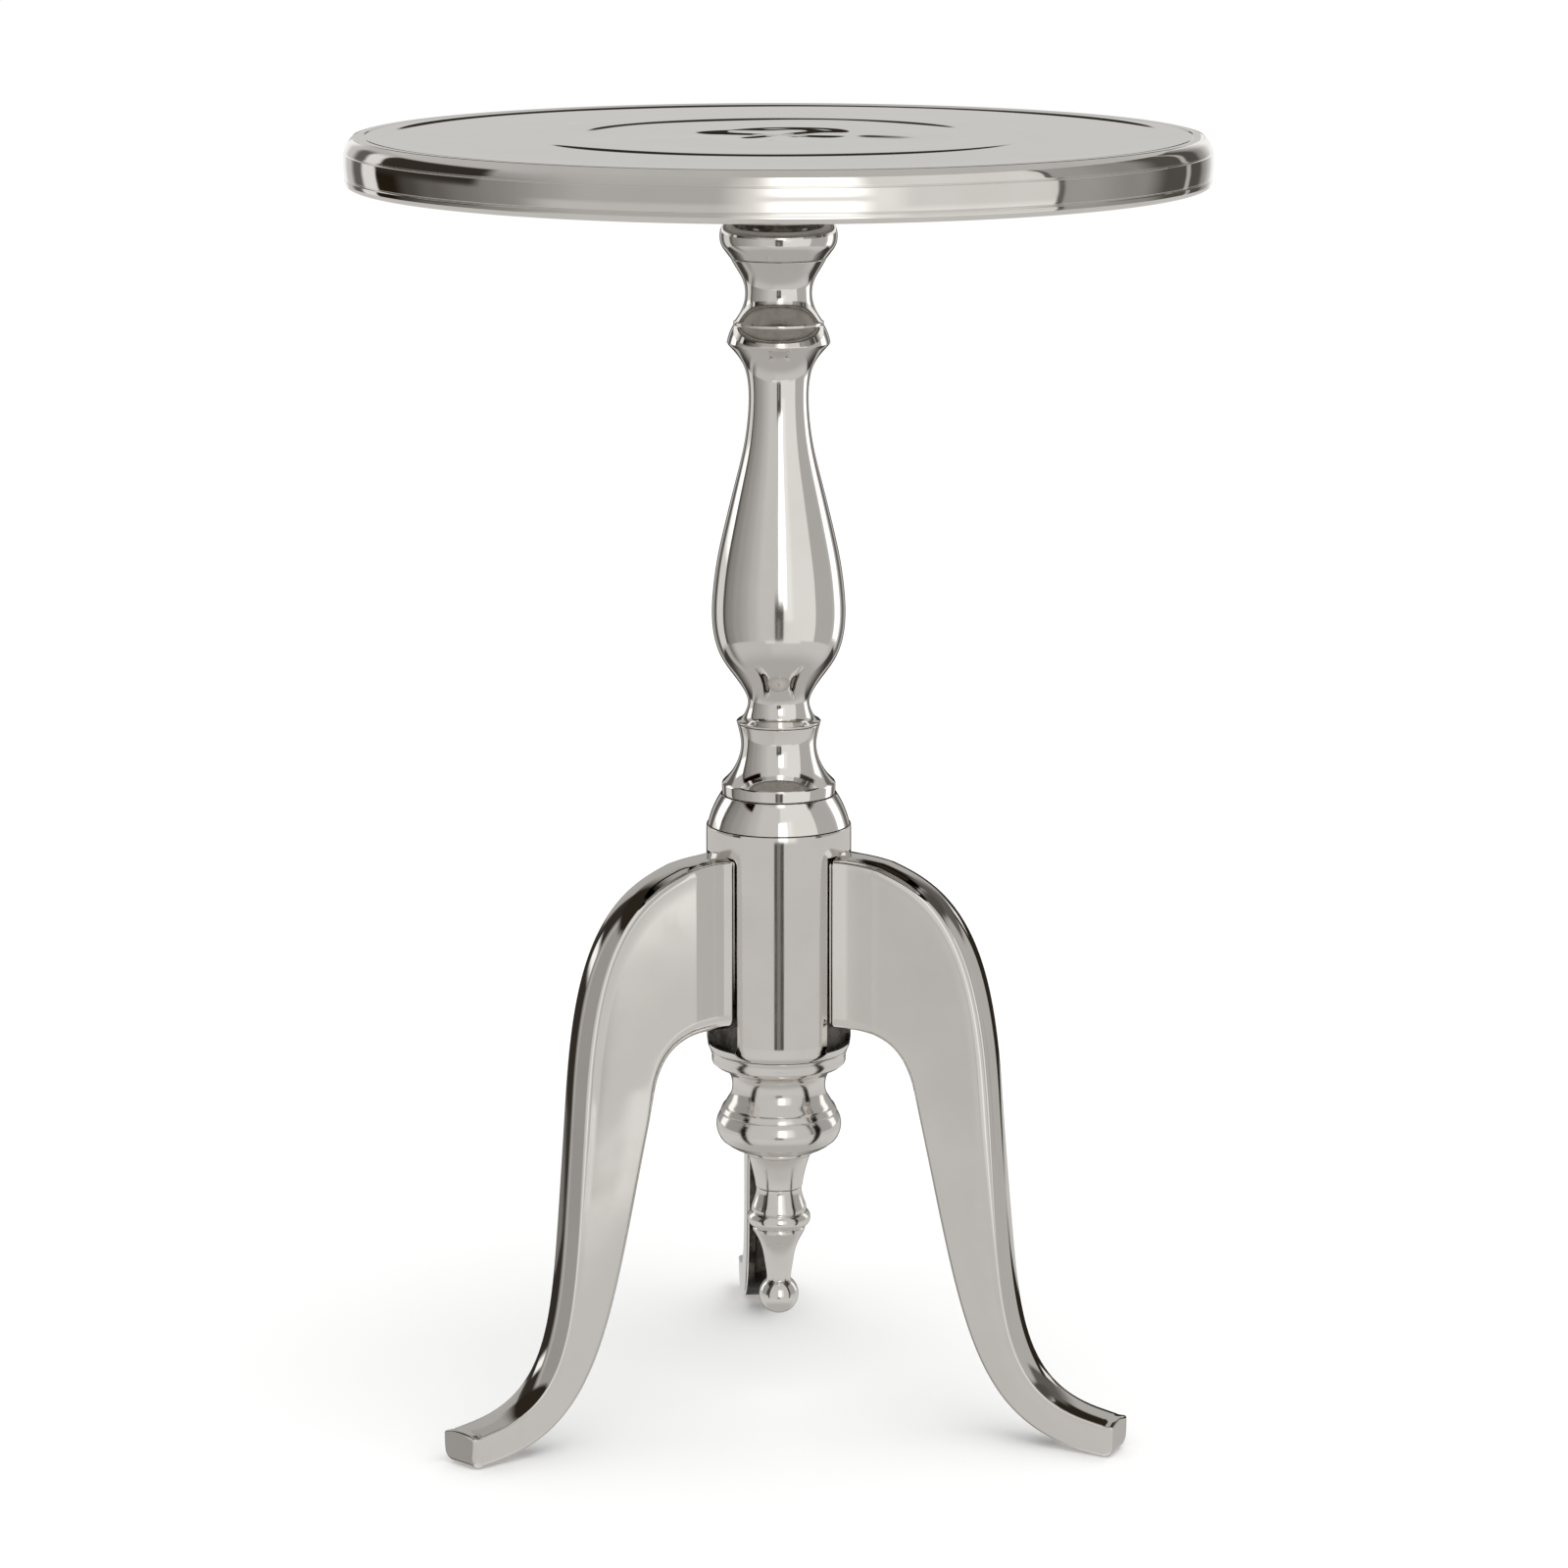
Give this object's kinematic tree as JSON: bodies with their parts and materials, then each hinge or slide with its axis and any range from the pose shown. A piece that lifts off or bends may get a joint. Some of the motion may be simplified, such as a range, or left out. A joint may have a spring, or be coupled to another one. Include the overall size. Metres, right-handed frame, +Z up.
{
  "type": "pedestal side table",
  "caption": "Round tray-topped side table on a turned baluster column with a hub, curved legs and a pendant finial, in mirror-polished silver metal.",
  "frame": {"origin": "on the floor, on the column's axis, which is the bottom centre of the bounding box", "axes": "+Z up the column; the rear leg points along +Y and the other legs 120 degrees to each side"},
  "size_m": [0.4, 0.4, 0.6108],
  "materials": {
    "polished_tray": "spun and mirror polished, faint concentric ripples",
    "polished_column": "turned and mirror polished, fine lathe lines and a few casting pits",
    "polished_leg": "hand polished with slight waves, smudges and hairline scratches",
    "rough_casting": "raw sand casting, darkened",
    "zinc_steel": "zinc plated, satin"
  },
  "bodies": {
    "root": {"tray_top": "polished_tray", "tray_flange": "rough_casting", "flange_screw_1": "zinc_steel", "flange_screw_2": "zinc_steel", "flange_screw_3": "zinc_steel", "flange_screw_4": "zinc_steel", "capital": "polished_column", "baluster": "polished_column", "lower_collar": "polished_column", "dome_cap": "polished_column", "hub": "polished_column", "hub_boss": "polished_column", "finial": "polished_column", "tie_rod": "zinc_steel", "rod_washer": "zinc_steel", "rod_nut": "zinc_steel", "leg_rear": "polished_leg", "leg_bolt_rear_upper": "zinc_steel", "leg_washer_rear_upper": "zinc_steel", "leg_bolt_rear_lower": "zinc_steel", "leg_washer_rear_lower": "zinc_steel", "leg_left": "polished_leg", "leg_bolt_left_upper": "zinc_steel", "leg_washer_left_upper": "zinc_steel", "leg_bolt_left_lower": "zinc_steel", "leg_washer_left_lower": "zinc_steel", "leg_right": "polished_leg", "leg_bolt_right_upper": "zinc_steel", "leg_washer_right_upper": "zinc_steel", "leg_bolt_right_lower": "zinc_steel", "leg_washer_right_lower": "zinc_steel"}
  },
  "joints": []
}
